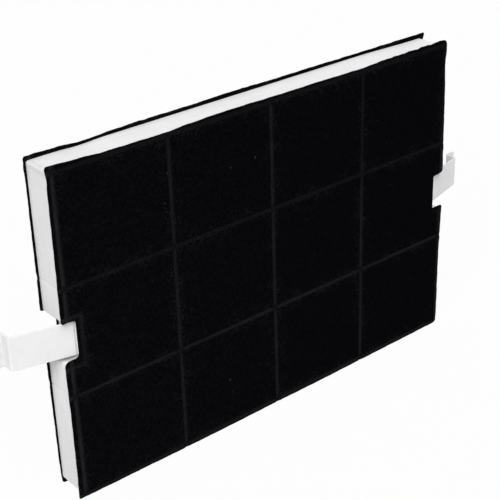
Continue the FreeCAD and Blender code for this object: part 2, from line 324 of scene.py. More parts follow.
# Where the plastic is darker: a range along one axis, and how much there is at its ends, 0 and 1 if unsaid.
SHADE_BY_REAR = (frame_high.y - 5.5 * MM, frame_high.y)
DARKER_LOW_DOWN = (30 * MM, 105 * MM, 0.2, 0.0)
SHADE_AT_LOWER_EDGE = (4 * MM, 8 * MM, 0.7, 0.0)
CORNER_SHADE_X, CORNER_SHADE_Z = (183 * MM, 188 * MM), (256 * MM, 262 * MM)
NOTCH_SHADE_IN, NOTCH_SHADE_OUT = (176 * MM, 177.5 * MM), (178.4 * MM, 179.4 * MM, 1.0, 0.3)
NOTCH_SHADE_AWAY = (17.5 * MM, 19 * MM, 1.0, 0.0)  # up and down from the notch's middle
ROOT_LINE_IN, ROOT_LINE_OUT = (178.6 * MM, 179.1 * MM), (179.6 * MM, 180.4 * MM, 1.0, 0.0)


def make_plastic(name, shade_in_notch):
    """Satin white plastic. Shade_in_notch: true paints shade in the notches, false a line at a tab's root.
    """
    material, place, parts, mottle = new_material(name, 9, 0.9, 0.16)
    stretched = put("ShaderNodeMapping", {"Vector": place, "Scale": (1, 3.5, 1)})
    flow = ramp(noise(stretched, 60.0, 4.0, 0.6), 0.35, 0.72)
    # Painted shade: patches of grey within 5.5 mm of the rear fleece, where its edge shades the frame.
    rear_shade = product(ramp(parts["Y"], *SHADE_BY_REAR), mottle["Patches"], 0.55)
    # Painted shade and real flow marks, added together as one share of grey.
    shade_and_flow = maths("ADD", rear_shade, product(flow, 0.16), clamp=True)
    # Greyer towards the bottom: a fifth of the grey below 30 mm, fading out at 105 mm.
    shade_and_flow = total(shade_and_flow, ramp(parts["Z"], *DARKER_LOW_DOWN))
    across = maths("ABSOLUTE", parts["X"])
    # Painted shade on the round upper corners at both ends, which dims their highlight.
    corner = product(ramp(across, *CORNER_SHADE_X), ramp(parts["Z"], *CORNER_SHADE_Z), 0.5)
    # Painted shade along the lower edge: most of the grey up to 4 mm, none above 8 mm.
    shade_and_flow = largest(shade_and_flow, ramp(parts["Z"], *SHADE_AT_LOWER_EDGE), corner)
    if shade_in_notch:
        # Painted shade on the notch's walls, under and around the tab, a little patchy.
        away = maths("ABSOLUTE", minus(parts["Z"], panel_middle.z))
        darkened = product(ramp(across, *NOTCH_SHADE_IN), ramp(across, *NOTCH_SHADE_OUT),
                       ramp(away, *NOTCH_SHADE_AWAY), ramp(mottle["Patches"], 0.0, 1.0, 0.75, 1.0))
    else:
        # A dotted darker line along the tab's root, where it meets the notch's wall.
        darkened = product(ramp(across, *ROOT_LINE_IN), ramp(across, *ROOT_LINE_OUT),
                       ramp(mottle["Grain"], 0.2, 0.9, 0.25, 1.0))
    colour = blend(shade_and_flow, PLASTIC_WHITE, PLASTIC_GREY)
    colour = blend(darkened, colour, PLASTIC_DARKER)
    roughness = ramp(mottle["Grain"], 0.0, 1.0, 0.36, 0.50)
    height = total(product(mottle["Patches"], 0.7), product(mottle["Dust"], 0.12))
    close_material(colour, roughness, height, 0.06, 0.35)
    return material


plastic = make_plastic("white_moulded_plastic", True)
tab_plastic = make_plastic("white_tab_plastic", False)
print("plastic nodes:", len(plastic.node_tree.nodes))

# %% [markdown]
# ## The frame
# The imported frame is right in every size, but its edges are knife-sharp and its walls dead flat. The
# real moulding has rounded edges, a top wall that sags, and a shallow sink mark where each rib shrank
# behind a wall. A bump map could paint those on. Real dents catch the light from any side, so this
# cell copies the solid, joins its loose triangles, cuts extra lines across the walls and moves them.

# %% Copies of solids, with joined triangles
def joined_copy(node_name):
    """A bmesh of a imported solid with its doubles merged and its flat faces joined."""
    source = frame["nodes"][node_name].data
    build = bmesh.new()
    corners = [build.verts.new(vertex.co) for vertex in source.vertices]
    for polygon in source.polygons:
        build.faces.new([corners[i] for i in polygon.vertices])
    bmesh.ops.remove_doubles(build, verts=build.verts, dist=0.002 * MM)
    bmesh.ops.dissolve_limit(build, angle_limit=math.radians(0.5), verts=build.verts, edges=build.edges)
    return build


def smooth_piece(build, name):
    """Turns a bmesh into a piece with outward faces and smooth shading."""
    bmesh.ops.recalc_face_normals(build, faces=build.faces)
    mesh = bpy.data.meshes.new(name)
    build.to_mesh(mesh)
    build.free()
    mesh.shade_smooth()
    return new_object(name, mesh)


def finish_piece(build, name, material, crease=32):
    """A piece with a material, and sharp where it bends by more than the crease, in degrees."""
    piece = smooth_piece(build, name)
    piece.data.set_sharp_from_angle(angle=math.radians(crease))
    piece.data.materials.append(material)
    return piece


def bridge(build, first, second):
    """Faces all round between two rings with the same number of points."""
    for i in range(len(first)):
        j = (i + 1) % len(first)
        build.faces.new((first[i], first[j], second[j], second[i]))


def unit(value):
    """A value held between 0 and 1."""
    return np.clip(value, 0, 1)


def round_outer(x, z, centre_x, centre_z, sx, sz, radius):
    """Pulls the square corner beyond a centre onto a round one. sx and sz point to the corner."""
    u, v = sx * (x - centre_x) / radius, sz * (z - centre_z) / radius
    inside = (u > 0) & (v > 0) & (u < 1.0001) & (v < 1.0001)
    u, v = unit(u), unit(v)
    x = np.where(inside, centre_x + sx * radius * u * np.sqrt(1 - v * v / 2), x)
    z = np.where(inside, centre_z + sz * radius * v * np.sqrt(1 - u * u / 2), z)
    return x, z


def soften_edges(piece, width):
    """A live Bevel on the sharp edges only."""
    bevel = piece.modifiers.new("soft edges", "BEVEL")
    bevel.width = width
    bevel.segments = 2
    bevel.limit_method = "ANGLE"
    bevel.angle_limit = math.radians(50)
    bevel.use_clamp_overlap = False


# %% Frame with sink marks
COLUMNS, ROWS = 4, 3
WALL = 2.0 * MM
RIB = 1.5 * MM
SINK_DEPTH = 0.2 * MM
LEVEL_SINK_SHARE = 0.25  # the long walls show much less of it than the ends do
SINK_WIDTH = 1.5 * MM
LOWER_EDGE_RISE = 1.9 * MM
# The corners that the mould left rounder than the solid's: end, upper or lower, radius.
ROUNDER_CORNERS = ((1, 1, 6.5 * MM), (-1, -1, 3.6 * MM))
ROUND_LINES = (0.12, 0.26, 0.4, 0.55, 0.7, 0.85, 1.0)  # cuts in a round corner, as shares of its radius
PAST_CORNER = 2.3 * MM  # just past the solid's own round corners
FRAME_EDGES = {1: frame_high.z, -1: frame_low.z}
# The top wall sinks from SAG_START on, and in one dent near the left.
SAG_START, SAG_LENGTH, SAG_DEPTH = 115 * MM, 60 * MM, 1.2 * MM
DENT_X, DENT_WIDTH, DENT_DEPTH = -148 * MM, 11 * MM, 0.8 * MM
SAG_LINES = (-170, -162, -155, -148, -141, -134, -126, 115, 125, 135, 145, 155, 165, 175)

frame_size = frame_high - frame_low
column_pitch = (frame_size.x - 2 * WALL + RIB) / COLUMNS
row_pitch = (frame_size.z - 2 * WALL + RIB) / ROWS
middle_z = (frame_low.z + frame_high.z) / 2
rib_x = [column_pitch * (i - COLUMNS / 2) for i in range(1, COLUMNS)]
rib_z = [middle_z + row_pitch * (i - ROWS / 2) for i in range(1, ROWS)]
print("ribs at x", [round(v / MM, 2) for v in rib_x], "z", [round(v / MM, 2) for v in rib_z])


def sink(distance):
    """Depth of the sink mark at a distance from the middle of its rib."""
    return SINK_DEPTH * math.exp(-(distance / SINK_WIDTH * 1.6) ** 2)


def sag(x):
    """How far the top wall has sunk."""
    share = unit((x - SAG_START) / SAG_LENGTH)
    dent = DENT_DEPTH * math.exp(-((x - DENT_X) / DENT_WIDTH) ** 2)
    return SAG_DEPTH * share * share * (3 - 2 * share) + dent


def make_frame():
    """The lattice frame with softened edges and sink marks over its ribs."""
    build = joined_copy("frame")
    steps = [SINK_WIDTH * s for s in (-1.4, -0.8, -0.4, 0.0, 0.4, 0.8, 1.4)]
    across, up = Vector((1, 0, 0)), Vector((0, 0, 1))
    cuts = [(across, x + s) for x in rib_x for s in steps] + [(up, z + s) for z in rib_z for s in steps]
    cuts += [(across, x * MM) for x in SAG_LINES]
    # A line just past each round corner keeps the walls beside it flat in the light.
    cuts += [(across, sign * (frame_high.x - PAST_CORNER)) for sign in (-1, 1)]
    cuts += [(up, frame_low.z + PAST_CORNER), (up, frame_high.z - PAST_CORNER)]
    for end, level, radius in ROUNDER_CORNERS:
        for s in ROUND_LINES:
            cuts.append((across, end * (frame_high.x - radius * s)))
            cuts.append((up, FRAME_EDGES[level] - level * radius * s))
    for axis, place in cuts:
        everything = build.verts[:] + build.edges[:] + build.faces[:]
        bmesh.ops.bisect_plane(build, geom=everything, dist=0.001 * MM,
                               plane_co=axis * place, plane_no=axis)
    near = 0.01 * MM
    for vertex in build.verts:
        at = vertex.co
        if min(abs(at.z - frame_low.z), abs(at.z - frame_high.z)) < near:
            depth = LEVEL_SINK_SHARE * sink(min(abs(at.x - x) for x in rib_x))
            vertex.co.z += depth if at.z < middle_z else -depth
        elif abs(abs(at.x) - frame_high.x) < near:
            depth = sink(min(abs(at.z - z) for z in rib_z))
            vertex.co.x -= math.copysign(depth, at.x)
    for vertex in build.verts:
        at = vertex.co
        for end, level, radius in ROUNDER_CORNERS:
            centre = end * (frame_high.x - radius), FRAME_EDGES[level] - level * radius
            at.x, at.z = round_outer(at.x, at.z, *centre, end, level, radius)
        # The rise fades out from 2 to 6 mm above the lower edge, and the sag from 4 to 8 mm below the top.
        at.z += LOWER_EDGE_RISE * unit((6 * MM - at.z + frame_low.z) / (4 * MM))
        at.z -= sag(at.x) * unit((at.z - frame_high.z + 8 * MM) / (4 * MM))
    piece = finish_piece(build, "frame_moulding", plastic, crease=25)
    soften_edges(piece, 0.25 * MM)
    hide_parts("frame")
    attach(piece, "filter")
    return piece


moulding = make_frame()
print("frame faces:", len(moulding.data.polygons))

# %% [markdown]
# ## The latch tabs
# Each tab is a strip that bends like a spring. Its solid has the right leg, step and lip, so it needs
# only soft edges and a trim of about a millimetre. At its root the real tab and the notch's wall are
# one moulding, but the solids leave a gap for the hinge. A block could fill it. A round bead on the
# hinge's axis looks the same at every angle of the tab.

# %% Tabs and their roots
HINGE_IN = 1.05 * MM  # from the notch's inner wall to the hinge
BEAD = 0.82 * MM  # the bead's radius round the hinge
FOOT = 1.7 * MM  # half the bead's height where it meets the wall
TAB_FORWARD = 0.9 * MM  # how far the root stands in front of the solid's, fading towards the tip
TAB_CLEARANCE = 0.35 * MM  # more room between the root and the wall, so that it can turn
TAB_ROOT_X, TAB_LENGTH = 0.179, 0.054  # in metres
# How far each tab's upper and lower edge lie above the solid's, at the root and at the tip, in mm.
TAB_TRIM = {"right": ((0.8, 0.3), (1.2, 1.3)), "left": ((0.6, -0.3), (-0.1, -1.05))}


def make_tab(side, sign):
    """A latch tab with soft edges, riding on its own body."""
    node = f"{side}_latch_tab"
    low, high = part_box(node)
    upper, lower = TAB_TRIM[side]
    build = joined_copy(node)
    for vertex in build.verts:
        out = (abs(vertex.co.x) - TAB_ROOT_X) / TAB_LENGTH
        root, tip = upper if vertex.co.z > (low.z + high.z) / 2 else lower
        vertex.co.z += (root + (tip - root) * out) * MM
        at_root = unit(1 - out * 1.3)
        vertex.co.y -= TAB_FORWARD * at_root
        vertex.co.x += sign * TAB_CLEARANCE * at_root
    piece = finish_piece(build, f"{side}_tab_spring", tab_plastic, crease=30)
    soften_edges(piece, 0.22 * MM)
    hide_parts(node)
    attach(piece, f"{side}_tab")
    return piece


def make_root(side, sign):
    """The moulded bead that joins a tab's root to the wall of its notch."""
    joint = next(j for j in frame["joints"] if j["name"] == f"{side}_tab_hinge")
    hinge_x, hinge_y = abs(joint["pos_m"][0]), joint["pos_m"][1] - 0.8 * TAB_FORWARD
    low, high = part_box(f"{side}_latch_tab")
    wall_x = hinge_x - HINGE_IN
    lower = [(wall_x - 0.2 * MM, -FOOT)]
    lower += [(wall_x + s * HINGE_IN, (FOOT - BEAD) * math.sin(s * math.pi / 2) - FOOT)
              for s in np.linspace(0, 1, 6)]
    arc = [(hinge_x + BEAD * math.cos(a), BEAD * math.sin(a)) for a in np.radians(np.linspace(-80, 80, 13))]
    outline = lower + arc + [(x, -y) for x, y in reversed(lower)]
    build = bmesh.new()
    rings = [[build.verts.new((sign * x, hinge_y + y, z)) for x, y in outline]
             for z in (low.z + 0.15 * MM, high.z - 0.15 * MM)]
    build.faces.new(rings[0])
    build.faces.new(rings[1])
    bridge(build, *rings)
    piece = finish_piece(build, f"{side}_tab_root", tab_plastic)
    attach(piece, "filter")
    return piece


for side, sign in (("right", 1), ("left", -1)):
    tab, root = make_tab(side, sign), make_root(side, sign)
    print(side, "tab faces:", len(tab.data.polygons), "root faces:", len(root.data.polygons))

# %% [markdown]
# ## The fleece's cut shape
# Each fleece is one sheet of needled felt, cut a little larger than the frame, with a notch at each
# end. Cut cloth is never quite straight: its edge bows by up to 1.5 mm and wanders by a few tenths.
# A plane with a Subdivision modifier would spend as many faces in the middle of a cell as on a weld.
# This grid has fine rows beside the welds and at the edge, and wider ones between. Then its corners
# are rounded and its edge is waved.

# %% Lines of the grid
NOTCH_X = 179.2 * MM
NOTCH_HALF = 15.4 * MM
LEFT_NOTCH_RISE = {"front": (1.7, 1.7), "rear": (1.7, 0.8)}  # above and below, in millimetres
LEFT_NOTCH_DEEPER = 0.4 * MM
STEP, MIN_STEP = 1.45 * MM, 0.18 * MM
NOTCH_CLEAR = 0.3 * MM  # no other line comes nearer to a notch's own
WELD_STEPS = [s * MM for s in (0.0, 0.4, 0.8, 1.2, 1.7, 2.4, 3.3, 4.4)]
EDGE_STEPS = [s * MM for s in (0.0, 0.3, 0.7, 1.2, 1.8, 2.5, 3.4, 4.4)]
NOTCH_STEPS = [s * MM for s in (0.0, 0.4, 0.9, 1.6)]


def lines_between(marks):
    """Sorted grid lines: all marks, and even steps where two are further apart than STEP."""
    kept = []
    for mark in sorted(marks):
        if not kept or mark - kept[-1] > MIN_STEP:
            kept.append(mark)
    lines = [kept[0]]
    for low, high in zip(kept, kept[1:]):
        count = max(1, math.ceil((high - low) / STEP - 0.2))
        lines += [low + (high - low) * k / count for k in range(1, count + 1)]
    return np.array(lines)


def grid_lines(ends, notch, ribs):
    """Grid lines of a fleece along one axis, fine at its ends, at the notch's walls and at the ribs."""
    marks = [end + d * s for s in EDGE_STEPS for end, d in zip(ends, (1, -1))]
    marks += [wall + d * s for s in NOTCH_STEPS for d in (-1, 1) for wall in notch]
    marks += [rib + d * s for rib in ribs for s in WELD_STEPS for d in (-1, 1)]
    return lines_between([m for m in marks if all(m == n or abs(m - n) > NOTCH_CLEAR for n in notch)])


grid_x = grid_lines((-fleece_high.x, fleece_high.x), (-NOTCH_X, NOTCH_X), rib_x)
grid_z = grid_lines((0.0, fleece_high.z), (middle_z - NOTCH_HALF, middle_z + NOTCH_HALF), rib_z)
print("grid of a fleece:", len(grid_x), "x", len(grid_z))

# %% Round corners and waved edges
# Radii in millimetres. The first key is the end, -1 for the left, and the second 1 for the upper one.
CORNERS = {
    "front": {(-1, 1): 2.2, (1, 1): 4.0, (-1, -1): 1.0, (1, -1): 2.8},
    "rear": {(-1, 1): 2.6, (1, 1): 1.0, (-1, -1): 2.0, (1, -1): 1.6},
}
NOTCH_CORNERS = {(-1, 1): 2.8, (1, 1): 1.6, (-1, -1): 2.8, (1, -1): 1.3}
NOTCH_LIPS = {(-1, 1): 1.3, (1, 1): 2.6, (-1, -1): 4.2, (1, -1): 1.2}
# How far each cut edge lies outside its straight line, in millimetres, at even steps along it.
EDGE_BOWS = {
    "front": {
        "top": (1.5, 0.3, -0.95, -1.2, -1.5, -0.5, 0.05, 0.0, -0.4, -0.6, -0.5, -0.9, -1.1, -0.1, 0.1, 0.35,
                0.6),
        "bottom": (-1.0, -0.65, -0.2, -0.05, -0.2, 0.0, -0.3, -0.5, -0.8),
        "left": (1.1, 0.55, 0.4, 0.3, 0.6, 0.75, 0.3, 0.2, -0.2, -0.3, -0.45, -0.3),
        "right": (0.2, 0.4, 0.2, 0.2, 0.6, 1.2, 0.75, 0.4, 0.05, -0.35, -1.1, -0.7),
    },
    "rear": {
        "top": (0.8, 0.2, -1.0, -0.1, 0.4, 0.2, 0.15, 0.6, 0.65, 0.1, 0.15, 0.2, 0.05, -0.1, -0.1, -0.1,
                -0.3),
        "bottom": (-0.3, -0.2, -0.4, -0.2, -0.3),
        "left": (-0.8, -0.25, -0.2, 0.0, 0.2, 0.65, 0.9, 0.15, 0.1, 0.0, -0.25, 0.3),
        "right": (-0.2, 0.1, -0.2, 0.2, -0.1),
    },
}


def round_inner(x, z, centre_x, centre_z, sx, sz, radius):
    """Fills the corner of a hole with a round. The centre is in the hole."""
    u, v = sx * (x - centre_x) / radius, sz * (z - centre_z) / radius
    m = np.maximum(u, v)
    beyond = (u >= 0) & (v >= 0) & (m > 0.999) & (m < 2.6)
    safe = np.where(m > 0.5, m, 1.0)
    ub, vb = unit(u / safe), unit(v / safe)
    fade = unit(1 - (m - 1) / 1.6)
    du, dv = ub * np.sqrt(1 - vb * vb / 2) - ub, vb * np.sqrt(1 - ub * ub / 2) - vb
    x = np.where(beyond, x + sx * radius * du * fade, x)
    z = np.where(beyond, z + sz * radius * dv * fade, z)
    return x, z


def wander(dice, amplitude, longest):
    """A smooth random line, as a sum of waves of falling length."""
    waves = [(amplitude * 0.6 ** k, 2 * math.pi / (longest * 0.47 ** k), dice.uniform(0, 2 * math.pi))
             for k in range(5)]
    return lambda t: sum(a * np.sin(t * f + p) for a, f, p in waves)


def bow(values, along, low, high):
    """A smooth line through values that stand at even steps from low to high."""
    step = unit((along - low) / (high - low)) * (len(values) - 1)
    before = np.minimum(step.astype(int), len(values) - 2)
    share = 0.5 - 0.5 * np.cos((step - before) * math.pi)
    values = np.array(values) * MM
    return values[before] * (1 - share) + values[before + 1] * share


def wave_edges(x, z, side, seed, ragged):
    """Bows the cut edges and adds short waves. Ragged adds more near the top right corner."""
    dice = random.Random(seed)
    half, top, reach = fleece_high.x, fleece_high.z, 5 * MM
    bows = EDGE_BOWS[side]
    for sign, edge in ((-1, "left"), (1, "right")):
        line = bow(bows[edge], z, 0.0, top) + wander(dice, 0.07 * MM, 18 * MM)(z)
        x = x + sign * line * unit((sign * x - half + reach) / reach)
    line = bow(bows["top"], x, -half, half) + wander(dice, 0.08 * MM, 20 * MM)(x)
    frill = ragged * wander(dice, 0.22 * MM, 16 * MM)(x) * unit((x - 0.08) / 0.06)
    z = z + (line + frill) * unit((z - top + reach) / reach)
    line = bow(bows["bottom"], x, -half, half) + wander(dice, 0.06 * MM, 20 * MM)(x)
    z = z - line * unit((reach - z) / reach)
    return x, z


def bend_corners(x, z, flares):
    """Moves the cloth near a few points by a few tenths of a millimetre, fading with distance."""
    for at_x, at_z, push_x, push_z, reach in flares:
        away = ((x - at_x * MM) ** 2 + (z - at_z * MM) ** 2) / (reach * MM) ** 2
        x, z = x + push_x * MM * np.exp(-away), z + push_z * MM * np.exp(-away)
    return x, z


def move_left_notch(x, z, side):
    """The left notch is cut a little higher and deeper. Both shifts fade out within a few centimetres."""
    beside = np.exp(-((z - middle_z) / (34 * MM)) ** 4)
    rise = np.where(z > middle_z, *LEFT_NOTCH_RISE[side]) * MM
    raised = z + rise * unit((-x - 150 * MM) / (20 * MM)) * beside
    return x + LEFT_NOTCH_DEEPER * np.exp(-((x + NOTCH_X) / (6 * MM)) ** 2) * beside, raised


def shape_outline(x, z, side, seed, ragged, flares):
    """Rounds the corners and notches of the flat grid and waves its edges."""
    half, top = fleece_high.x, fleece_high.z
    for sx in (-1, 1):
        for sz, edge in ((-1, 0.0), (1, top)):
            tables = CORNERS[side], NOTCH_CORNERS, NOTCH_LIPS
            radius, inner, lip = (table[sx, sz] * MM for table in tables)
            x, z = round_outer(x, z, sx * (half - radius), edge - sz * radius, sx, sz, radius)
            wall = middle_z + sz * NOTCH_HALF
            x, z = round_inner(x, z, sx * (NOTCH_X + inner), wall - sz * inner, -sx, sz, inner)
            x, z = round_outer(x, z, sx * (half - lip), wall + sz * lip, sx, -sz, lip)
    x, z = wave_edges(*move_left_notch(x, z, side), side, seed, ragged)
    return bend_corners(x, z, flares)


# %% Fleece slab
def make_slab(name, side, thickness, seed, ragged, flares):
    """A closed sheet: a fine grid outside, a rounded rim, and one flat face against the frame.

    Side is -1 for the front, which faces -Y. The grid gets an attribute named outer.
    """
    seat = frame_low.y if side < 0 else frame_high.y
    x, z = np.meshgrid(grid_x, grid_z, indexing="ij")
    in_notch = (np.abs(x) > NOTCH_X - 1e-6) & (np.abs(z - middle_z) < NOTCH_HALF + 1e-6)
    hole = (in_notch[:-1, :-1] & in_notch[1:, :-1] & in_notch[1:, 1:] & in_notch[:-1, 1:])
    x, z = shape_outline(x, z, "front" if side < 0 else "rear", seed, ragged, flares)
    rows = x.shape[1]
    build = bmesh.new()
    outer = build.verts.layers.float.new("outer")
    grid = [build.verts.new((a, seat + side * thickness, b)) for a, b in zip(x.ravel(), z.ravel())]
    for i in range(x.shape[0] - 1):
        for j in range(rows - 1):
            if not hole[i, j]:
                k = i * rows + j
                build.faces.new((grid[k], grid[k + 1], grid[k + rows + 1], grid[k + rows]))
    bmesh.ops.delete(build, geom=[v for v in grid if not v.link_faces], context="VERTS")
    for vertex in build.verts:
        vertex[outer] = 1.0
    add_rim(build, outer, seat, side * thickness)
    return smooth_piece(build, name)


def add_rim(build, outer, seat, thickness):
    """Closes a grid of faces with a rim, bulged a little, and a flat face on the frame."""
    after = {}
    for edge in build.edges:
        if edge.is_boundary:
            loop = edge.link_loops[0]
            after[loop.vert] = loop.link_loop_next.vert
    start = next(iter(after))
    ring, vertex = [start], after[start]
    while vertex is not start:
        ring.append(vertex)
        vertex = after[vertex]
    places = np.array([v.co for v in ring])
    # The ring goes up at the left end and down at the right one, so outward is on its left.
    along = np.roll(places, -1, axis=0) - np.roll(places, 1, axis=0)
    outward = np.stack([-along[:, 2], np.zeros(len(ring)), along[:, 0]], axis=1)
    outward /= np.linalg.norm(outward, axis=1)[:, None]
    layers = [ring]
    for share, bulge in ((0.75, 0.16 * MM), (0.35, 0.16 * MM), (0.0, 0.02 * MM)):
        points = places + outward * bulge
        points[:, 1] = seat + thickness * share
        fresh = [build.verts.new(p) for p in points]
        for v in fresh:
            v[outer] = share
        layers.append(fresh)
    for first, second in zip(layers, layers[1:]):
        bridge(build, first, second)
    build.faces.new(layers[-1])


# Where each fleece curls out of its rectangle: x, z, push along x and z, reach, in millimetres.
FRONT_FLARES = [(-190, 256, 0.5, 0, 6), (-190, 265, -0.5, 0, 4),
                (190, 246, -0.5, 0, 6), (190, 256, 0.5, 0, 6)]
REAR_FLARES = [(190, 265, 0.2, 0.6, 4), (190, 258, -1.8, 0, 4)]
slabs = {
    "front": make_slab("front_fleece_felt", -1, 0.9 * MM, seed=11, ragged=1.0, flares=FRONT_FLARES),
    "rear": make_slab("rear_fleece_felt", 1, 1.2 * MM, seed=23, ragged=0.3, flares=REAR_FLARES),
}
print("fleece faces:", {name: len(slab.data.polygons) for name, slab in slabs.items()})

# %% [markdown]
# ## Welds, loft and granules
# The fleece is welded to every rib and wall. Each weld is the same groove, repeated at the pitch of
# the cells, and between the welds the felt keeps its loft over the charcoal, whose granules press
# through a little. Sculpting would look as good on one cell, and no two would match. The distance to
# the nearest weld decides the height, so Geometry Nodes can do it. They also store masks as
# attributes, so that the material knows where a weld is.

# %% The tree that presses the welds
FLEECE_INPUTS = {
    "Side": -1.0,
    "Column Pitch": column_pitch,
    "Row Pitch": row_pitch,
    "Middle Height": middle_z,
    "Notch Wall": NOTCH_X - 4.5 * MM,
    "Notch Half": NOTCH_HALF + 4.5 * MM,
    "Weld Half Width": 0.75 * MM,
    "Weld Shift X": 0.75 * MM,
    "Left Weld Shift": 1.2 * MM,
    "Lower Weld Shift": -0.5 * MM,
    "Upper Row Press": 0.5,
    "Shoulder": 2.6 * MM,
    "Loft": 0.62 * MM,
    "Granule Size": 3.6 * MM,
    "Granule Height": 0.10 * MM,
    "Swell": 0.22 * MM,
    "Seed": 1.0,
}


def distance_to_lines(value, pitch, shift):
    """Distance to the nearest of the lines that repeat at a pitch."""
    count = total(maths("DIVIDE", value, pitch), shift)
    fraction = minus(count, maths("ROUND", count))
    return product(maths("ABSOLUTE", fraction), pitch)


def stored(name):
    """A number that the mesh keeps at each of its points."""
    return put("GeometryNodeInputNamedAttribute", {"Name": name}, data_type="FLOAT")


def close_tree(given, out, geometry):
    """Makes instances real, sets the material and ends the tree."""
    real = put("GeometryNodeRealizeInstances", {0: geometry})
    dyed = put("GeometryNodeSetMaterial", {"Geometry": real, "Material": given["Material"]})
    link(dyed, out.inputs[0])


def make_press_tree():
    """Geometry Nodes: lofts a flat slab between its welds."""
    sockets = [("Geometry", "Geometry"), *((name, "Float") for name in FLEECE_INPUTS),
               ("Material", "Material")]
    tree, given, out = new_tree("press_welds", "GeometryNodeTree", sockets, [("Geometry", "Geometry")])
    place = put("GeometryNodeInputPosition")
    x, _, z = add("ShaderNodeSeparateXYZ", {0: place}).outputs
    aside = total(given["Weld Shift X"], ramp(x, -188 * MM, 0.0, given["Left Weld Shift"], 0.0))
    z_mid = minus(z, given["Middle Height"])
    leaning = product(ramp(z_mid, -75 * MM, -35 * MM, 0.4 * MM, 0.0),
                      ramp(x, -80 * MM, -10 * MM, 0.4, 1.0))
    aside = total(aside, leaning)
    across = distance_to_lines(minus(x, aside), given["Column Pitch"], 0.0)
    lower = ramp(z_mid, -40 * MM, 40 * MM, given["Lower Weld Shift"], 0.0)
    up = distance_to_lines(minus(z_mid, lower), given["Row Pitch"], 0.5)
    beside = minus(given["Notch Wall"], maths("ABSOLUTE", x))
    above = minus(maths("ABSOLUTE", z_mid), given["Notch Half"])
    round_notch = maths("ABSOLUTE", largest(beside, above))
    round_notch = total(round_notch, ramp(x, 0.0, 0.1, 0.0, 9 * MM))
    distance = smallest(across, up, round_notch)
    shift = combine(given["Seed"], given["Seed"], 0.0)
    moved = put("ShaderNodeVectorMath", {0: place, 1: shift}, operation="ADD")
    wobble = product(minus(noise(moved, 160.0, 3.0), 0.5), 1.1 * MM)
    worn = total(distance, wobble)
    shoulder = total(given["Weld Half Width"], given["Shoulder"])
    loft = ramp(worn, given["Weld Half Width"], shoulder)
    cell = ramp(distance, given["Shoulder"], 22 * MM)
    pebble_scale = maths("DIVIDE", 1.0, given["Granule Size"])
    pebble = add("ShaderNodeTexVoronoi", {"Vector": moved, "Scale": pebble_scale, "Smoothness": 0.6},
                 feature="SMOOTH_F1").outputs["Distance"]
    pebble = product(minus(0.6, pebble), given["Granule Height"])
    swell = product(noise(moved, 24.0, 2.0), given["Swell"])
    inner = product(total(pebble, swell), maths("MULTIPLY", cell, 1.6, clamp=True))
    height = total(product(loft, given["Loft"]), inner)
    offset = combine(0.0, product(height, stored("outer"), given["Side"]), 0.0)
    pressed = put("GeometryNodeSetPosition", {"Geometry": given["Geometry"], "Offset": offset})
    melted = ramp(worn, 0.6 * MM, 2.3 * MM, 1.0, 0.0)
    crossing = ramp(largest(across, up), 1.5 * MM, 5.0 * MM, 0.6, 0.0)
    upper_row = product(ramp(z_mid, 20 * MM, 40 * MM), ramp(up, 2 * MM, 3 * MM, 1.0, 0.0))
    at_right = product(ramp(z_mid, 46 * MM, 60 * MM), ramp(x, 20 * MM, 90 * MM))
    weak = product(minus(1.0, given["Upper Row Press"]), largest(upper_row, at_right))
    uneven = ramp(noise(moved, 45.0, 2.0), 0.35, 0.65, 0.25, 0.0)
    strength = minus(1.0, largest(crossing, weak, uneven))
    masks = {"weld": product(melted, strength), "beside_weld": ramp(worn, MM, 12 * MM, 1.0, 0.0)}
    for name, mask in masks.items():
        kept = {"Geometry": pressed, "Name": name, "Value": mask}
        pressed = put("GeometryNodeStoreNamedAttribute", kept, data_type="FLOAT", domain="POINT")
    close_tree(given, out, pressed)
    return tree


def run_tree(piece, tree, values):
    """Runs a tree on a piece and keeps the result as its plain mesh."""
    modifier = piece.modifiers.new(tree.name, "NODES")
    modifier.node_group = tree
    for item in tree.interface.items_tree:
        if item.item_type == "SOCKET" and item.in_out == "INPUT" and item.name in values:
            modifier[item.identifier] = values[item.name]
    bpy.context.view_layer.update()
    result = bpy.data.meshes.new_from_object(piece.evaluated_get(bpy.context.evaluated_depsgraph_get()))
    piece.modifiers.clear()
    piece.data = result
    return piece


def rest_on_floor(piece):
    """Flattens what would reach below the surface that the filter stands on."""
    for vertex in piece.data.vertices:
        vertex.co.z = max(vertex.co.z, cad_box[0].z)


# %% [markdown]
# ## Black fleece
# The felt is almost black. Under a strong light it shows short fibres in every direction, a paler line
# where a weld has melted them flat, and a little haze of loose fibres beside it.
# An image of felt would be the quick way. Three noises, each stretched in its own direction, give
# fibres that never repeat, and the weld mask that the tree stored places the lines.

# %% Fleece material
FELT_DARK = (0.0012, 0.0012, 0.0017, 1)
FELT_FIBRE = (0.0052, 0.0052, 0.0066, 1)
FELT_HAZE = (0.0105, 0.0105, 0.0120, 1)
FELT_WELD = (0.0112, 0.0113, 0.0130, 1)
FELT_EDGE_WELD = (0.0190, 0.0192, 0.0215, 1)


def fibres(place, angle, size):
    """Short fibres in one direction: noise that is stretched along it."""
    turned = put("ShaderNodeMapping", {"Vector": place, "Rotation": (0, angle, 0)})
    drawn = put("ShaderNodeMapping", {"Vector": turned, "Scale": (1.0, 1.0, 0.12)})
    return ramp(noise(drawn, 1 / size, 2.0, 0.6), 0.45, 0.72)


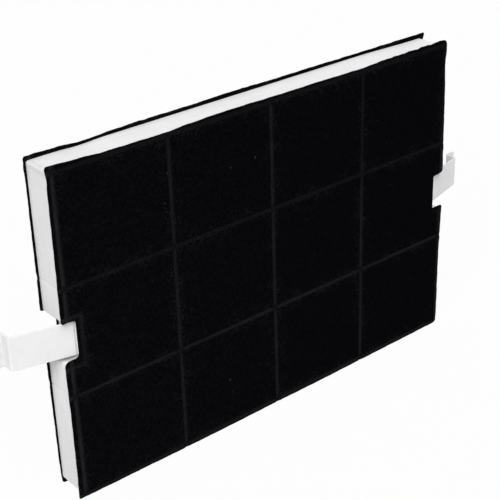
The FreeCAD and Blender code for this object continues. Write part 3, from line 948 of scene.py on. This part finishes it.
def make_felt():
    """Black needled felt, paler and smoother at its welds."""
    material, place, parts, mottle = new_material("black_needled_fleece", 16, 1.5, 0.6)
    strands = [fibres(place, math.radians(a), s * MM) for a, s in ((20, 0.22), (75, 0.26), (140, 0.2))]
    felt = largest(*strands)
    weld = add("ShaderNodeAttribute", attribute_name="weld").outputs["Fac"]
    beside = add("ShaderNodeAttribute", attribute_name="beside_weld").outputs["Fac"]
    # Painted light: the fibres are painted paler at the left end, fading to half at the right, as if lit
    # more strongly from the left.
    painted_left_light = ramp(parts["X"], -0.19, 0.19, 1.0, 0.5)
    clots = total(product(felt, 0.15), product(mottle["Grain"], 0.75))
    body = blend(maths("MULTIPLY", clots, painted_left_light, clamp=True), FELT_DARK, FELT_FIBRE)
    specks = product(ramp(mottle["Grain"], 0.45, 0.95), ramp(mottle["Patches"], 0.25, 0.8))
    body = blend(product(beside, specks, 0.8), body, FELT_HAZE)
    breaks = ramp(mottle["Grain"], 0.0, 1.0, 0.65, 1.0)
    pressed = blend(ramp(parts["X"], -0.187, -0.181, 1.0, 0.0), FELT_WELD, FELT_EDGE_WELD)
    colour = blend(product(weld, breaks), body, pressed)
    roughness = ramp(weld, 0.0, 1.0, 0.95, 0.72)
    loose = minus(1.0, product(weld, 0.75))
    height = product(total(felt, product(mottle["Grain"], 0.8)), loose)
    close_material(colour, roughness, height, 0.16, 0.006)
    return material


felt = make_felt()
press_tree = make_press_tree()
for name, side in (("front", -1.0), ("rear", 1.0)):
    values = dict(FLEECE_INPUTS, Side=side, Seed=1.0 if side < 0 else 5.0, Material=felt)
    run_tree(slabs[name], press_tree, values)
    rest_on_floor(slabs[name])
    low = min(v.co.y for v in slabs[name].data.vertices)
    high = max(v.co.y for v in slabs[name].data.vertices)
    print(name, "fleece from", round(low / MM, 2), "to", round(high / MM, 2), "mm")

# %% [markdown]
# ## Loose fibres
# Needled felt sheds. Short fibres stand up in little arches, most of them beside the welds, where the
# felt was gripped. A hair system would give thousands, but hair has no mesh to keep. Geometry Nodes
# scatter a few arches on the felt with a fixed seed, and each has only a few faces.

# %% The tree that scatters fibres
LINT_INPUTS = {"Density": 9000.0, "Length": 2.6 * MM, "Thickness": 0.035 * MM}


def make_lint_tree():
    """Geometry Nodes: scatters three shapes of fibre over the outside of a fleece."""
    sockets = [("Geometry", "Geometry"), *((name, "Float") for name in LINT_INPUTS),
               ("Seed", "Int"), ("Material", "Material")]
    tree, given, out = new_tree("scatter_lint", "GeometryNodeTree", sockets, [("Geometry", "Geometry")])
    place = put("GeometryNodeInputPosition")
    clumps = ramp(noise(place, 45.0, 3.0), 0.42, 0.68)
    share = total(0.12, product(stored("beside_weld"), clumps))
    density = product(share, ramp(stored("outer"), 0.2, 0.3), given["Density"])
    inputs = {"Mesh": given["Geometry"], "Density": density, "Seed": given["Seed"]}
    scatter = add("GeometryNodeDistributePointsOnFaces", inputs, distribute_method="RANDOM")
    ring = {"Resolution": 3, "Radius": given["Thickness"]}
    profile = put("GeometryNodeCurvePrimitiveCircle", ring, mode="RADIUS")
    shapes = add("GeometryNodeJoinGeometry")
    for bend, lift, tip in ((0.10, 0.16, -0.01), (0.34, 0.24, 0.02), (0.52, 0.12, 0.05)):
        arch = {"Resolution": 5, "Start": (-0.5, 0.0, -0.01), "Middle": (0.05, bend, lift),
                "End": (0.45, -bend / 2, tip)}
        line = put("GeometryNodeCurveQuadraticBezier", arch)
        scale = combine(given["Length"], given["Length"], given["Length"])
        long = put("GeometryNodeTransform", {"Geometry": line, "Scale": scale})
        skin = {"Curve": long, "Profile Curve": profile, "Fill Caps": True}
        tube = put("GeometryNodeCurveToMesh", skin)
        link(put("GeometryNodeGeometryToInstance", {0: tube}), shapes.inputs[0])
    pick = add("FunctionNodeRandomValue", {4: 0, 5: 2}, data_type="INT").outputs[2]
    size = add("FunctionNodeRandomValue", {2: 0.45, 3: 1.5}, data_type="FLOAT").outputs[1]
    placed = put("GeometryNodeInstanceOnPoints",
                 {"Points": scatter.outputs["Points"], "Instance": shapes.outputs[0], "Pick Instance": True,
                  "Instance Index": pick, "Rotation": scatter.outputs["Rotation"], "Scale": size})
    angle = add("FunctionNodeRandomValue", {2: 0.0, 3: 2 * math.pi}, data_type="FLOAT").outputs[1]
    spin = {"Instances": placed, "Rotation": combine(0.0, 0.0, angle)}
    close_tree(given, out, put("GeometryNodeRotateInstances", spin))
    return tree


def make_lint_material():
    """Grey-black fibre, paler than the felt because it stands in the light."""
    material, _, _, mottle = new_material("loose_fibre", 14, 2.5, 0.3)
    colour = blend(mottle["Grain"], (0.008, 0.008, 0.010, 1), (0.030, 0.031, 0.034, 1))
    roughness = ramp(mottle["Patches"], 0.0, 1.0, 0.6, 0.8)
    close_material(colour, roughness, mottle["Dust"], 0.01, 0.2)
    return material


lint_tree, lint_colour = make_lint_tree(), make_lint_material()
lint = {}
for name in ("front", "rear"):
    piece = new_object(f"{name}_fleece_lint", slabs[name].data.copy())
    values = dict(LINT_INPUTS, Seed=3 if name == "front" else 8, Material=lint_colour)
    lint[name] = run_tree(piece, lint_tree, values)
    rest_on_floor(lint[name])
    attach(lint[name], "filter")
    print(name, "lint faces:", len(lint[name].data.polygons))

# %% [markdown]
# ## A few pale specks
# Bits of pale fibre cling to the front, as they do to any felt. They could be thrown at random. The
# few that catch the eye are listed one by one, as small flat blobs with their own size and slant.

# %% Specks
# x, z, length, width in millimetres, and slant in degrees from level.
SPECKS = [(-94.8, 233.7, 2.6, 0.62, 80), (-15.6, 222.7, 2.0, 0.85, 75), (-38.6, 221.3, 2.4, 0.65, 12),
          (19.3, 229.4, 1.4, 0.6, 20), (-80.5, 119.5, 1.6, 0.55, 85), (-47.5, 42.9, 1.8, 0.9, 70),
          (-98.5, 212.0, 1.3, 0.8, 50)]


def make_specks():
    """Small flat blobs on the front fleece, as one piece."""
    dice = random.Random(7)
    surface = slabs["front"].data.vertices
    build = bmesh.new()
    for x, z, length, width, slant in SPECKS:
        seat = min((v.co for v in surface), key=lambda c: (c.x - x * MM) ** 2 + (c.z - z * MM) ** 2).y
        blob = bmesh.ops.create_icosphere(build, subdivisions=2, radius=0.5)["verts"]
        for vertex in blob:
            vertex.co *= dice.uniform(0.82, 1.12)
        size = Matrix.Diagonal((length * MM, 0.25 * MM, width * MM, 1))
        spin = Matrix.Rotation(-math.radians(slant), 4, "Y")
        move = Matrix.Translation((x * MM, seat, z * MM))
        bmesh.ops.transform(build, matrix=move @ spin @ size, verts=blob)
    material, _, _, mottle = new_material("pale_fibre", 3, 0.5, 0.15)
    colour = blend(mottle["Grain"], (0.016, 0.016, 0.017, 1), (0.05, 0.05, 0.05, 1))
    roughness = ramp(mottle["Patches"], 0.0, 1.0, 0.7, 0.9)
    close_material(colour, roughness, mottle["Dust"], 0.02, 0.1)
    piece = finish_piece(build, "front_fleece_specks", material)
    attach(piece, "filter")
    return piece


specks = make_specks()
print("specks:", len(SPECKS), "faces:", len(specks.data.polygons))

# %% [markdown]
# ## The fleeces take the place of their solids
# Each fleece is a sheet of cloth, cut to 380 x 265 mm less its two notches, and held stretched by its
# welds. This cell hides the fleeces' solids and joins the new sheets to the filter's body.

# %% Sheets
for name in ("front", "rear"):
    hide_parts(f"{name}_fleece")
    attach(slabs[name], "filter")

# %% [markdown]
# ## Charcoal
# The charcoal fills the cells and can't be seen from outside. Its solids stay, and get a granular
# material: a Voronoi pattern whose cells are the granules, dull black with a slight glint.

# %% Charcoal material
def make_charcoal():
    """Loose black granules."""
    material, place, _, mottle = new_material("charcoal_granules", 12, 1.2, 0.3)
    granule = add("ShaderNodeTexVoronoi", {"Vector": place, "Scale": 1 / (3.4 * MM)}, feature="F1").outputs
    tone = add("ShaderNodeSeparateXYZ", {0: granule["Color"]}).outputs["X"]
    colour = blend(tone, (0.008, 0.008, 0.008, 1), (0.028, 0.027, 0.026, 1))
    roughness = ramp(tone, 0.0, 1.0, 0.5, 0.85)
    dome = minus(1.0, granule["Distance"])
    height = total(dome, product(mottle["Grain"], 0.2))
    close_material(colour, roughness, height, 1.2, 0.3)
    return material


charcoal = make_charcoal()
beds = [node for name, node in frame["nodes"].items() if name.startswith("charcoal_bed")]
for bed in beds:
    bed.data.materials.clear()
    bed.data.materials.append(charcoal)
print("charcoal beds:", len(beds))

# %% [markdown]
# ## Measuring and finishing
# This cell measures the dressed model and prints how far it has grown beyond the solids.

# %% Sizes
visual_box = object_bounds()
growth = visual_box[1] - visual_box[0] - cad_box[1] + cad_box[0]
print("grown by mm:", [round(v / MM, 2) for v in growth])
